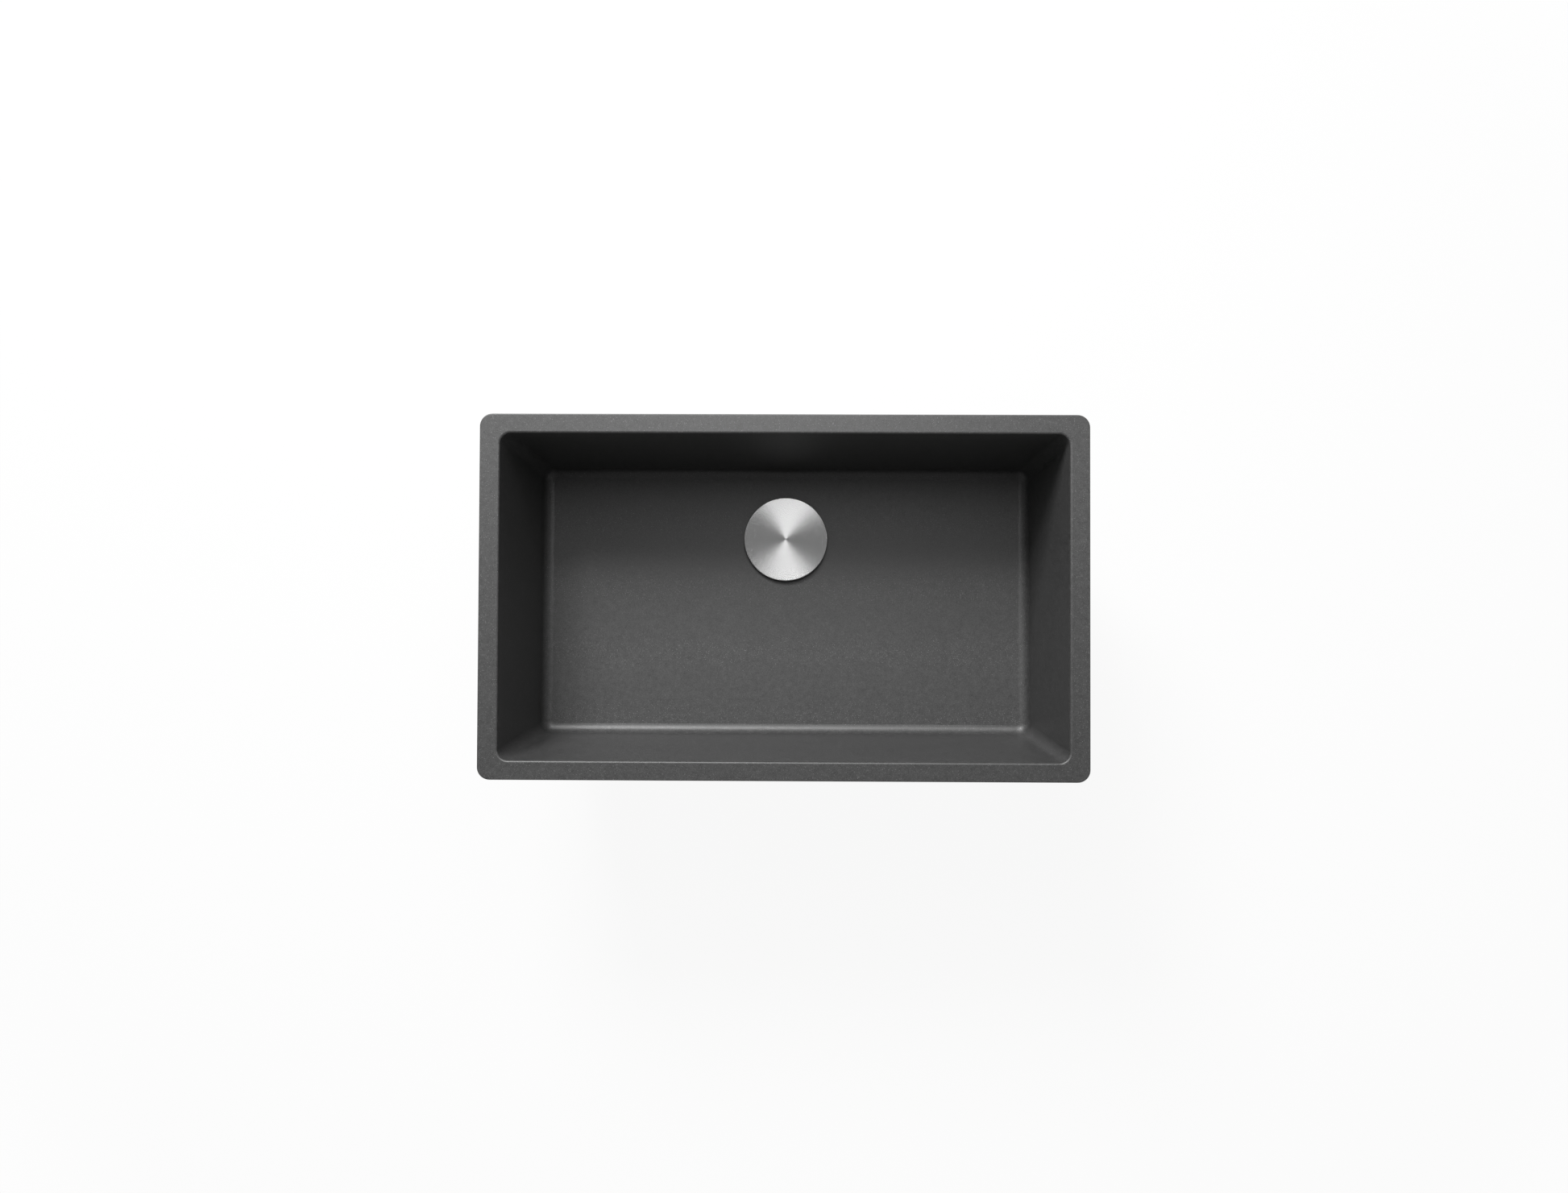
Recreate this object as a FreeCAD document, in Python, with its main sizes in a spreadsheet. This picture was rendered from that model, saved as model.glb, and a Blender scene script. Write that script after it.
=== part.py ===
import FreeCAD, Part
import math
import os
import re

import Sketcher

# Undermount kitchen sink: one moulded composite bowl, a basket strainer with its tailpiece under it,
# a lift-out basket with a rubber stopper, and a lift-off steel cover over the drain.
# Millimetres and degrees. The origin is the middle of the rim's top face, which is sealed to the
# underside of the worktop. +X runs along the sink to the right, +Y to the back, +Z up.

SIZES = {
    # the moulded bowl
    "rim_length": 825.5,
    "rim_width": 495.3,
    "rim_thickness": 12.0,
    "rim_corner": 17.0,
    "rim_round": 1.5,
    "side_land": 27.0,
    "end_land": 26.0,
    "mouth_corner": 15.0,
    "lip_round": 3.0,
    "wall_thickness": 8.5,
    "wall_lean": 26.0,
    "under_round": 8.0,
    "bowl_depth": 229.3,
    "floor_thickness": 12.0,
    "floor_fall": 6.0,
    "floor_corner": 16.5,
    "floor_round": 15.0,
    "boss_height": 3.0,
    "boss_margin": 7.0,
    "boss_round": 2.0,
    # the drain hole, and the strainer body that hangs in it
    "drain_to_wall": 103.65,
    "hole_radius": 44.5,
    "hole_gap": 1.0,
    "recess_depth": 3.0,
    "recess_gap": 1.0,
    "recess_round": 1.2,
    "flange_cover": 12.65,
    "flange_thickness": 2.4,
    "flange_flat": 10.0,
    "flange_round": 0.9,
    "funnel_drop": 2.0,
    "funnel_depth": 6.0,
    "body_wall": 2.5,
    "cup_depth": 50.0,
    "cup_taper": 3.0,
    "cup_sheet": 2.0,
    "thread_top": 10.0,
    "thread_pitch": 3.0,
    "thread_height": 0.8,
    "thread_gap": 0.1,
    "outlet_step": 0.95,
    "neck_ledge": 4.75,
    "neck_length": 22.0,
    "neck_pitch": 2.4,
    "hub_radius": 8.0,
    "hub_height": 3.5,
    "hub_drop": 2.5,
    "hub_gap": 0.4,
    "spoke_width": 3.0,
    "spoke_bite": 0.5,
    # what clamps the strainer body to the bowl
    "seal_thickness": 1.0,
    "seal_gap": 2.65,
    "gasket_thickness": 4.5,
    "gasket_cover": 11.5,
    "gasket_round": 0.8,
    "ring_thickness": 1.0,
    "ring_cover": 10.5,
    "ring_gap": 0.5,
    "locknut_height": 12.0,
    "locknut_flange": 2.5,
    "locknut_wall": 6.4,
    "locknut_lug": 5.0,
    "locknut_lug_width": 9.0,
    "locknut_round": 0.8,
    # the tailpiece, its washer and its slip nut
    "tail_radius": 19.05,
    "tail_wall": 1.0,
    "tail_length": 101.6,
    "tail_flange_gap": 1.0,
    "tail_flange_thickness": 1.2,
    "tail_end_round": 0.3,
    "tail_washer_thickness": 1.5,
    "tail_washer_gap": 0.4,
    "slip_nut_reach": 15.0,
    "slip_nut_lip": 3.0,
    "slip_nut_wall": 3.6,
    "slip_nut_gap": 0.95,
    "slip_nut_lug": 3.0,
    "slip_nut_lug_width": 7.0,
    "slip_nut_round": 0.8,
    # the lift-out basket and its stopper
    "basket_gap": 0.9,
    "basket_drop": 8.0,
    "basket_sheet": 0.8,
    "basket_rim": 2.6,
    "basket_lean": 7.0,
    "basket_round": 1.2,
    "basket_lift": 6.0,
    "hole_margin": 6.0,
    "hole_pitch": 6.5,
    "hole_spacing": 8.5,
    "small_hole": 1.7,
    "side_hole": 1.8,
    "side_hole_spacing": 9.5,
    "post_radius": 3.0,
    "post_gap": 0.1,
    "post_tip": 2.0,
    "post_tip_length": 7.0,
    "collar_radius": 6.0,
    "collar_height": 1.5,
    "collar_round": 0.5,
    "washer_radius": 16.0,
    "washer_thickness": 1.0,
    "stopper_cover": 5.0,
    "stopper_height": 6.0,
    "stopper_skirt": 2.5,
    "stopper_round": 1.2,
    "seat_gap": 0.2,
    "catch_radius": 3.5,
    "catch_head": 6.5,
    "catch_head_height": 1.4,
    "catch_length": 10.0,
    "catch_round": 1.1,
    "catch_slot": 1.0,
    "catch_slot_depth": 2.9,
    "knob_radius": 9.0,
    "knob_waist": 5.5,
    "knob_height": 12.0,
    "knob_cap": 4.0,
    "knob_flare": 1.4,
    "knob_socket": 6.0,
    "knob_round": 1.0,
    "knob_gap": 1.7,
    # the lift-off cover
    "cover_overhang": 4.65,
    "cover_rise": 10.0,
    "cover_sheet": 1.2,
    "cover_lip": 3.0,
    "cover_round": 1.1,
    "stud_radius": 2.0,
    "stud_gap": 0.1,
    "stud_show": 0.6,
    "stud_round": 0.4,
    "hub_plate_radius": 12.0,
    "hub_plate_height": 3.0,
    "hoop_gap": 3.0,
    "hoop_width": 3.0,
    "hoop_height": 2.0,
    "fin_width": 2.4,
    "fin_height": 3.0,
    "fin_turn": 45.0,
    "leg_gap": 1.0,
    "leg_width": 3.0,
    "leg_depth": 5.0,
    "foot_inset": 2.15,
    "foot_width": 7.0,
    "foot_gap": 0.1,
    "pad_thickness": 1.0,
    "pad_margin": 0.6,
    "lock_washer_radius": 4.5,
    "lock_washer_thickness": 0.8,
    "nut_flats": 7.0,
    "nut_height": 3.2,
}
THREAD_TURNS = 8
NECK_TURNS = 6
LOCKNUT_LUGS = 6
SLIP_NUT_LUGS = 8
SPOKES = 4
FINS = 4
CATCH_SLOTS = 2
SIDE_ROWS = (0.28, 0.60)  # how far down the basket's wall each row of holes lies
THREAD_FORM = ((0.0, 0), (0.3, 0), (0.55, 1), (0.75, 1))  # share of the pitch, and root or crest
LUG_TAPER = 0.7

NEAR = 0.02  # how far a point may lie from an edge that it is meant to be on
PAST = 1.0  # how far a cut runs past what it cuts

# Widths and radii that follow from the sizes above.
MOUTH_LENGTH = "(rim_length - 2 * side_land)"
MOUTH_WIDTH = "(rim_width - 2 * end_land)"
FLOOR_LENGTH = f"({MOUTH_LENGTH} - 2 * wall_lean)"
FLOOR_WIDTH = f"({MOUTH_WIDTH} - 2 * wall_lean)"
DRAIN_Y = f"({FLOOR_WIDTH} / 2 - drain_to_wall)"
FLANGE_RADIUS = "(hole_radius + flange_cover)"
RECESS_RADIUS = f"({FLANGE_RADIUS} + recess_gap)"
GASKET_RADIUS = "(hole_radius + gasket_cover)"
RING_RADIUS = "(hole_radius + ring_cover)"
THREAD_RADIUS = "(hole_radius - hole_gap)"
LOCKNUT_BORE = f"({THREAD_RADIUS} + thread_gap)"
LOCKNUT_RADIUS = f"({LOCKNUT_BORE} + locknut_wall)"
CUP_RADIUS = f"({THREAD_RADIUS} - body_wall)"
CUP_BASE = f"({CUP_RADIUS} - cup_taper)"
TAIL_BORE = "(tail_radius - tail_wall)"
OUTLET_RADIUS = f"({TAIL_BORE} + outlet_step)"
NECK_RADIUS = "(tail_radius + neck_ledge)"
TAIL_FLANGE = f"({NECK_RADIUS} - tail_flange_gap)"
SLIP_NUT_BORE = f"({NECK_RADIUS} + thread_gap)"
SLIP_NUT_RADIUS = f"({SLIP_NUT_BORE} + slip_nut_wall)"
BASKET_RADIUS = f"({CUP_RADIUS} - basket_gap)"
BASKET_WALL = f"({BASKET_RADIUS} - basket_rim)"
BASKET_BASE = f"({BASKET_WALL} - basket_lean)"
POST_HOLE = "(post_radius + post_gap)"
STOPPER_RADIUS = f"({OUTLET_RADIUS} + stopper_cover)"
COVER_RADIUS = f"({FLANGE_RADIUS} + cover_overhang)"
STUD_HOLE = "(stud_radius + stud_gap)"
LEG_OUTER = f"({CUP_RADIUS} - leg_gap)"
LEG_INNER = f"({LEG_OUTER} - leg_width)"
HOOP_RADIUS = f"({LEG_INNER} - hoop_gap)"
FOOT_OUTER = f"({FLANGE_RADIUS} - foot_inset)"
FOOT_INNER = f"({FOOT_OUTER} - foot_width)"

# Heights of the drain's pieces, measured from the bowl's floor on the drain's axis.
FLANGE_UNDER = "(seal_thickness - recess_depth)"
FLANGE_TOP = f"({FLANGE_UNDER} + flange_thickness)"
CUP_FLOOR = "(-cup_depth)"
CUP_UNDER = f"({CUP_FLOOR} - cup_sheet)"
NECK_END = f"({CUP_FLOOR} - neck_length)"
HUB_TOP = f"({CUP_FLOOR} - hub_drop)"
GASKET_UNDER = "(-floor_thickness - gasket_thickness)"
RING_UNDER = f"({GASKET_UNDER} - ring_thickness)"
TAIL_TOP = f"({NECK_END} - tail_washer_thickness)"
TAIL_FLANGE_UNDER = f"({TAIL_TOP} - tail_flange_thickness)"
TAIL_END = f"({TAIL_TOP} - tail_length)"
STOPPER_UNDER = f"({CUP_FLOOR} + seat_gap)"
STOPPER_TOP = f"({STOPPER_UNDER} + stopper_height)"
WASHER_TOP = f"({STOPPER_TOP} + washer_thickness)"
BASKET_TOP = "(-basket_drop)"
BASKET_UNDER = f"({WASHER_TOP} + basket_lift)"
BASKET_FLOOR = f"({BASKET_UNDER} + basket_sheet)"
COVER_UNDER = "(cover_rise - cover_sheet)"
HUB_PLATE_UNDER = f"({COVER_UNDER} - hub_plate_height)"
LOCK_WASHER_UNDER = f"({HUB_PLATE_UNDER} - lock_washer_thickness)"
STUD_END = f"({LOCK_WASHER_UNDER} - nut_height - stud_show)"
FIN_UNDER = f"({COVER_UNDER} - fin_height)"
FOOT_UNDER = f"({FLANGE_TOP} + foot_gap + pad_thickness)"
KNOB_TOP = f"({STUD_END} - knob_gap)"
KNOB_UNDER = f"({KNOB_TOP} - knob_height)"
KNOB_SOCKET_TOP = f"({KNOB_UNDER} + knob_socket)"

doc = FreeCAD.newDocument("undermount_sink")
sheet = doc.addObject("Spreadsheet::Sheet", "Sizes")
for row, (name, size) in enumerate(SIZES.items(), start=1):
    sheet.set(f"A{row}", name)
    sheet.set(f"B{row}", str(size))
    sheet.setAlias(f"B{row}", name)
doc.recompute()


def cells(text):
    """The expression, with each size's name written as its cell in the sheet."""
    return re.sub(r"[a-z]\w*", lambda m: f"Sizes.{m[0]}" if m[0] in SIZES else m[0], str(text))


def number(text):
    """What an expression comes to at the sheet's present sizes."""
    found = sheet.evalExpression(cells(text))
    return float(getattr(found, "Value", found))


def origin_feature(body, role):
    return next(feature for feature in body.Origin.OriginFeatures if feature.Role == role)


def new_body(label):
    body = doc.addObject("PartDesign::Body", label)
    body.Label = label
    return body


def new_drain_body(label):
    """A body whose own origin is on the drain's axis, level with the bowl's floor there."""
    body = new_body(label)
    body.setExpression("Placement.Base.y", cells(DRAIN_Y))
    body.setExpression("Placement.Base.z", cells("-bowl_depth"))
    return body


def new_sketch(body, name, plane="XY_Plane", height="0", fall=None):
    """A sketch on one of the body's planes; fall tips it about X, so that it drops towards +Y."""
    sketch = body.newObject("Sketcher::SketchObject", f"{body.Label}_{name}")
    sketch.AttachmentSupport = [(origin_feature(body, plane), "")]
    sketch.MapMode = "FlatFace"
    if fall:
        tip = FreeCAD.Rotation(FreeCAD.Vector(-1, 0, 0), number(fall))
        sketch.AttachmentOffset = FreeCAD.Placement(FreeCAD.Vector(), tip)
        sketch.setExpression("AttachmentOffset.Rotation.Angle", cells(fall))
    sketch.setExpression("AttachmentOffset.Base.z", cells(height))
    return sketch


def hold(sketch, kind, *where, size):
    """Adds a dimension to a sketch and ties it to the sheet."""
    index = sketch.addConstraint(Sketcher.Constraint(kind, *where, number(size)))
    sketch.setExpression(f"Constraints[{index}]", cells(size))


def outline(sketch, points):
    """A closed outline of straight lines, each corner held by two dimensions from the origin."""
    spots = [FreeCAD.Vector(number(x), number(y), 0) for x, y in points]
    ends = spots[1:] + spots[:1]
    lines = [sketch.addGeometry(Part.LineSegment(a, b)) for a, b in zip(spots, ends)]
    for line, following in zip(lines, lines[1:] + lines[:1]):
        sketch.addConstraint(Sketcher.Constraint("Coincident", line, 2, following, 1))
    for line, (x, y) in zip(lines, points):
        hold(sketch, "DistanceX", -1, 1, line, 1, size=x)
        hold(sketch, "DistanceY", -1, 1, line, 1, size=y)


def circle(sketch, radius, x="0", y="0"):
    middle = FreeCAD.Vector(number(x), number(y), 0)
    ring = sketch.addGeometry(Part.Circle(middle, FreeCAD.Vector(0, 0, 1), number(radius)))
    hold(sketch, "Radius", ring, size=radius)
    hold(sketch, "DistanceX", -1, 1, ring, 3, size=x)
    hold(sketch, "DistanceY", -1, 1, ring, 3, size=y)


def rounded_rectangle(sketch, length, width, corner):
    """A rectangle about the origin with four equal round corners."""
    across, along, r = number(length) / 2, number(width) / 2, number(corner)
    up = FreeCAD.Vector(0, 0, 1)
    arcs = []
    for turn, (right, back) in enumerate([(1, 1), (-1, 1), (-1, -1), (1, -1)]):
        middle = FreeCAD.Vector(right * (across - r), back * (along - r), 0)
        whole = Part.Circle(middle, up, r)
        arc = Part.ArcOfCircle(whole, turn * math.pi / 2, (turn + 1) * math.pi / 2)
        arcs.append(sketch.addGeometry(arc))
    for turn, arc in enumerate(arcs):
        following = arcs[(turn + 1) % len(arcs)]
        side = Part.LineSegment(sketch.getPoint(arc, 2), sketch.getPoint(following, 1))
        line = sketch.addGeometry(side)
        sketch.addConstraint(Sketcher.Constraint("Tangent", arc, 2, line, 1))
        sketch.addConstraint(Sketcher.Constraint("Tangent", line, 2, following, 1))
        sketch.addConstraint(Sketcher.Constraint("Vertical" if turn % 2 else "Horizontal", line))
    for arc in arcs[1:]:
        sketch.addConstraint(Sketcher.Constraint("Equal", arcs[0], arc))
    sketch.addConstraint(Sketcher.Constraint("Symmetric", arcs[0], 3, arcs[2], 3, -1, 1))
    hold(sketch, "Radius", arcs[0], size=corner)
    hold(sketch, "DistanceX", -1, 1, arcs[0], 3, size=f"{length} / 2 - {corner}")
    hold(sketch, "DistanceY", -1, 1, arcs[0], 3, size=f"{width} / 2 - {corner}")


def pad(sketch, length, down=False):
    body = sketch.getParentGeoFeatureGroup()
    feature = body.newObject("PartDesign::Pad", f"{sketch.Name}_pad")
    feature.Profile = sketch
    feature.Reversed = down
    feature.setExpression("Length", cells(length))
    doc.recompute()
    return feature


def pocket(sketch, depth, reverse=False):
    body = sketch.getParentGeoFeatureGroup()
    feature = body.newObject("PartDesign::Pocket", f"{sketch.Name}_cut")
    feature.Profile = sketch
    feature.Reversed = reverse
    feature.setExpression("Length", cells(depth))
    doc.recompute()
    if feature.Shape.Volume >= feature.BaseFeature.Shape.Volume:
        raise RuntimeError(f"{feature.Name} cuts nothing")
    return feature


def loft(kind, first, second):
    body = first.getParentGeoFeatureGroup()
    feature = body.newObject(f"PartDesign::{kind}", f"{first.Name}_loft")
    feature.Profile = first
    feature.Sections = [second]
    doc.recompute()
    return feature


def turned(body, points):
    """Turns an outline of radius and height about the body's own Z axis."""
    sketch = new_sketch(body, "section", plane="XZ_Plane")
    outline(sketch, points)
    feature = body.newObject("PartDesign::Revolution", f"{sketch.Name}_turned")
    feature.Profile = sketch
    feature.ReferenceAxis = (sketch, ["V_Axis"])
    feature.Angle = 360
    doc.recompute()
    return feature


def around(feature, count, angle=360):
    """Copies a feature evenly about the body's Z axis."""
    body = feature.getParentGeoFeatureGroup()
    pattern = body.newObject("PartDesign::PolarPattern", f"{feature.Name}_around")
    pattern.Originals = [feature]
    pattern.Axis = (origin_feature(body, "Z_Axis"), [""])
    pattern.Angle = angle
    pattern.Occurrences = count
    body.Tip = pattern
    doc.recompute()
    return pattern


def rounded(feature, radius, where):
    """Rounds every edge whose points all pass the test."""
    body = feature.getParentGeoFeatureGroup()
    edges = enumerate(feature.Shape.Edges, start=1)
    chosen = [f"Edge{index}" for index, edge in edges if all(where(p) for p in edge.discretize(5))]
    if not chosen:
        raise RuntimeError(f"{body.Label} has no edge for {radius}")
    made = body.newObject("PartDesign::Fillet", f"{body.Label}_round")
    made.Base = (feature, chosen)
    made.setExpression("Radius", cells(radius))
    doc.recompute()
    return made


def on_ring(height, radius, middle="0"):
    """A test for points on a ring at one height, whose middle lies on the Y axis."""
    level, size, shift = number(height), number(radius), number(middle)

    def test(point):
        off_axis = math.hypot(point.x, point.y - shift)
        return abs(point.z - level) < NEAR and abs(off_axis - size) < NEAR

    return test


def inside_at(height, length, width, slack=NEAR):
    """A test for points at one height, within a length and width about the origin."""
    level, across, along = number(height), number(length) / 2, number(width) / 2

    def test(point):
        within = abs(point.x) < across + NEAR and abs(point.y) < along + NEAR
        return within and abs(point.z - level) < slack

    return test


def flat_ring(label, inner, outer, top, under):
    """A flat ring on the drain's axis."""
    body = new_drain_body(label)
    turned(body, [(inner, under), (outer, under), (outer, top), (inner, top)])
    return body


def thread(radius, top, pitch, turns):
    """The crests and roots of a thread's section, from its top down."""
    points = []
    for turn in range(turns):
        for share, root in THREAD_FORM:
            height = f"({top} - ({turn} + {share}) * {pitch})"
            points.append((f"{radius} - {root} * thread_height", height))
    return points


def lugs(base, count, radius, reach, width, top, height):
    """Grip lugs round the outside of a nut, a little narrower at their tips."""
    body = base.getParentGeoFeatureGroup()
    lug = new_sketch(body, "lug", height=top)
    half = f"({width} / 2)"
    inner, outer = f"({radius} - {reach})", f"({radius} + {reach})"
    tip = f"{half} * {LUG_TAPER}"
    outline(lug, [(inner, f"-{half}"), (outer, f"-{tip}"), (outer, tip), (inner, half)])
    return around(pad(lug, height, down=True), count)


def bowl_outside(body):
    """The rim, the leaning outer skin and the flat boss that the drain clamps to."""
    skin_height = "(bowl_depth + floor_thickness - boss_height)"
    rim = new_sketch(body, "rim")
    rounded_rectangle(rim, "rim_length", "rim_width", "rim_corner")
    pad(rim, "rim_thickness", down=True)

    walls = "2 * wall_thickness"
    top = new_sketch(body, "skin_top")
    top_corner = "(mouth_corner + wall_thickness)"
    rounded_rectangle(top, f"({MOUTH_LENGTH} + {walls})", f"({MOUTH_WIDTH} + {walls})", top_corner)
    foot = new_sketch(body, "skin_foot", height=f"-{skin_height}")
    length, width = f"({FLOOR_LENGTH} + {walls})", f"({FLOOR_WIDTH} + {walls})"
    rounded_rectangle(foot, length, width, "(floor_corner + wall_thickness)")
    skin = loft("AdditiveLoft", top, foot)
    skin = rounded(skin, "floor_round + wall_thickness", inside_at(f"-{skin_height}", length, width))
    under_rim = inside_at("-rim_thickness", "rim_length - side_land", "rim_width - end_land")
    rounded(skin, "under_round", under_rim)

    boss = new_sketch(body, "boss", height="-bowl_depth - floor_thickness")
    circle(boss, f"{GASKET_RADIUS} + boss_margin", y=DRAIN_Y)
    solid = pad(boss, "boss_height + floor_thickness / 2")
    edge = on_ring("-bowl_depth - floor_thickness", f"{GASKET_RADIUS} + boss_margin", DRAIN_Y)
    return rounded(solid, "boss_round", edge)


def bowl_inside(body):
    """The hollow: four leaning walls, and one flat floor that falls to the back."""
    slope = f"(floor_fall / {FLOOR_WIDTH})"
    middle = f"(-bowl_depth + {DRAIN_Y} * {slope})"
    mouth = new_sketch(body, "mouth")
    rounded_rectangle(mouth, MOUTH_LENGTH, MOUTH_WIDTH, "mouth_corner")
    floor = new_sketch(body, "floor", height=middle, fall=f"atan{slope}")
    rounded_rectangle(floor, FLOOR_LENGTH, FLOOR_WIDTH, "floor_corner")
    hollow = loft("SubtractiveLoft", mouth, floor)
    floor_edges = inside_at(middle, FLOOR_LENGTH, FLOOR_WIDTH, slack=number("floor_fall"))
    hollow = rounded(hollow, "floor_round", floor_edges)
    return rounded(hollow, "lip_round", inside_at("0", MOUTH_LENGTH, MOUTH_WIDTH))


def drain_seat(body):
    """The hole for the strainer body, and the shallow recess for its flange."""
    above = "(-bowl_depth + floor_fall)"
    recess = new_sketch(body, "recess", height=above)
    circle(recess, RECESS_RADIUS, y=DRAIN_Y)
    pocket(recess, "floor_fall + recess_depth")
    hole = new_sketch(body, "hole", height=above)
    circle(hole, "hole_radius", y=DRAIN_Y)
    seat = pocket(hole, f"floor_fall + floor_thickness + {PAST}")
    shoulder = number("-bowl_depth - recess_depth / 2")
    middle, size = number(DRAIN_Y), number(RECESS_RADIUS)

    def recess_edge(point):
        off_axis = math.hypot(point.x, point.y - middle)
        return abs(off_axis - size) < NEAR and point.z > shoulder

    return rounded(seat, "recess_round", recess_edge)


def sink_bowl():
    body = new_body("sink_bowl")
    bowl_outside(body)
    bowl_inside(body)
    solid = drain_seat(body)
    across, along = number("rim_length / 2 - rim_corner / 2"), number("rim_width / 2 - rim_corner / 2")
    under = number("-rim_thickness")

    def rim_edge(point):
        level = abs(point.z) < NEAR or abs(point.z - under) < NEAR
        return level and (abs(point.x) > across or abs(point.y) > along)

    rounded(solid, "rim_round", rim_edge)
    return body


def flange_seal():
    return flat_ring("flange_seal", "hole_radius + seal_gap", FLANGE_RADIUS, FLANGE_UNDER, "-recess_depth")


def strainer_body():
    """The steel body: a flange, a tapering cup threaded outside, and a threaded neck with a hub across it."""
    body = new_drain_body("strainer_body")
    thread_end = f"(-thread_top - {THREAD_TURNS} * thread_pitch)"
    neck_top = f"({NECK_END} + {NECK_TURNS + 1} * neck_pitch)"
    points = [
        (FLANGE_RADIUS, FLANGE_UNDER),
        (FLANGE_RADIUS, FLANGE_TOP),
        (f"{FLANGE_RADIUS} - flange_flat", FLANGE_TOP),
        (f"{CUP_RADIUS} + funnel_drop", f"{FLANGE_TOP} - funnel_drop"),
        (CUP_RADIUS, "-funnel_depth"),
        (CUP_BASE, CUP_FLOOR),
        (OUTLET_RADIUS, CUP_FLOOR),
        (OUTLET_RADIUS, NECK_END),
        (f"{NECK_RADIUS} - thread_height", NECK_END),
        *reversed(thread(NECK_RADIUS, neck_top, "neck_pitch", NECK_TURNS)),
        (NECK_RADIUS, CUP_UNDER),
        (f"{CUP_BASE} + cup_sheet", CUP_UNDER),
        (f"{THREAD_RADIUS} - thread_height", thread_end),
        *reversed(thread(THREAD_RADIUS, "-thread_top", "thread_pitch", THREAD_TURNS)),
        (THREAD_RADIUS, FLANGE_UNDER),
    ]
    solid = turned(body, points)
    solid = rounded(solid, "flange_round", on_ring(FLANGE_TOP, FLANGE_RADIUS))
    rounded(solid, "cup_sheet", on_ring(CUP_FLOOR, CUP_BASE))

    hub = new_sketch(body, "hub", height=HUB_TOP)
    circle(hub, "hub_radius")
    pad(hub, "hub_height", down=True)
    spoke = new_sketch(body, "spoke", height=HUB_TOP)
    start, end, half = "hub_radius / 2", f"{OUTLET_RADIUS} + spoke_bite", "spoke_width / 2"
    outline(spoke, [(start, f"-{half}"), (end, f"-{half}"), (end, half), (start, half)])
    around(pad(spoke, "hub_height", down=True), SPOKES)
    hole = new_sketch(body, "hub_hole", height=CUP_FLOOR)
    circle(hole, "catch_radius + hub_gap")
    pocket(hole, f"hub_drop + hub_height + {PAST}")
    return body


def body_gasket():
    body = new_drain_body("body_gasket")
    inner, top = f"({THREAD_RADIUS} + ring_gap)", "(-floor_thickness)"
    outer = GASKET_RADIUS
    solid = turned(body, [(inner, GASKET_UNDER), (outer, GASKET_UNDER), (outer, top), (inner, top)])
    rounded(solid, "gasket_round", on_ring(GASKET_UNDER, outer))
    return body


def friction_ring():
    return flat_ring("friction_ring", f"{THREAD_RADIUS} + ring_gap", RING_RADIUS, GASKET_UNDER, RING_UNDER)


def locknut():
    body = new_drain_body("locknut")
    under, step = f"({RING_UNDER} - locknut_height)", f"({RING_UNDER} - locknut_flange)"
    points = [
        (LOCKNUT_BORE, RING_UNDER),
        (RING_RADIUS, RING_UNDER),
        (RING_RADIUS, step),
        (LOCKNUT_RADIUS, step),
        (LOCKNUT_RADIUS, under),
        (LOCKNUT_BORE, under),
    ]
    solid = rounded(turned(body, points), "locknut_round", on_ring(under, LOCKNUT_RADIUS))
    height = "locknut_height - locknut_flange"
    lugs(solid, LOCKNUT_LUGS, LOCKNUT_RADIUS, "locknut_lug", "locknut_lug_width", step, height)
    return body


def tailpiece_washer():
    return flat_ring("tailpiece_washer", f"{TAIL_BORE} + tail_washer_gap", TAIL_FLANGE, NECK_END, TAIL_TOP)


def tailpiece():
    body = new_drain_body("tailpiece")
    points = [
        (TAIL_BORE, TAIL_TOP),
        (TAIL_FLANGE, TAIL_TOP),
        (TAIL_FLANGE, TAIL_FLANGE_UNDER),
        ("tail_radius", TAIL_FLANGE_UNDER),
        ("tail_radius", TAIL_END),
        (TAIL_BORE, TAIL_END),
    ]
    rounded(turned(body, points), "tail_end_round", on_ring(TAIL_END, "tail_radius"))
    return body


def slip_nut():
    body = new_drain_body("slip_nut")
    lip = "(tail_radius + slip_nut_gap)"
    top, under = f"({NECK_END} + slip_nut_reach)", f"({TAIL_FLANGE_UNDER} - slip_nut_lip)"
    points = [
        (SLIP_NUT_BORE, top),
        (SLIP_NUT_RADIUS, top),
        (SLIP_NUT_RADIUS, under),
        (lip, under),
        (lip, TAIL_FLANGE_UNDER),
        (SLIP_NUT_BORE, TAIL_FLANGE_UNDER),
    ]
    solid = rounded(turned(body, points), "slip_nut_round", on_ring(under, SLIP_NUT_RADIUS))
    height = f"{top} - {under} - 2 * slip_nut_round"
    lugs(solid, SLIP_NUT_LUGS, SLIP_NUT_RADIUS, "slip_nut_lug", "slip_nut_lug_width", top, height)
    return body


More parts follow.
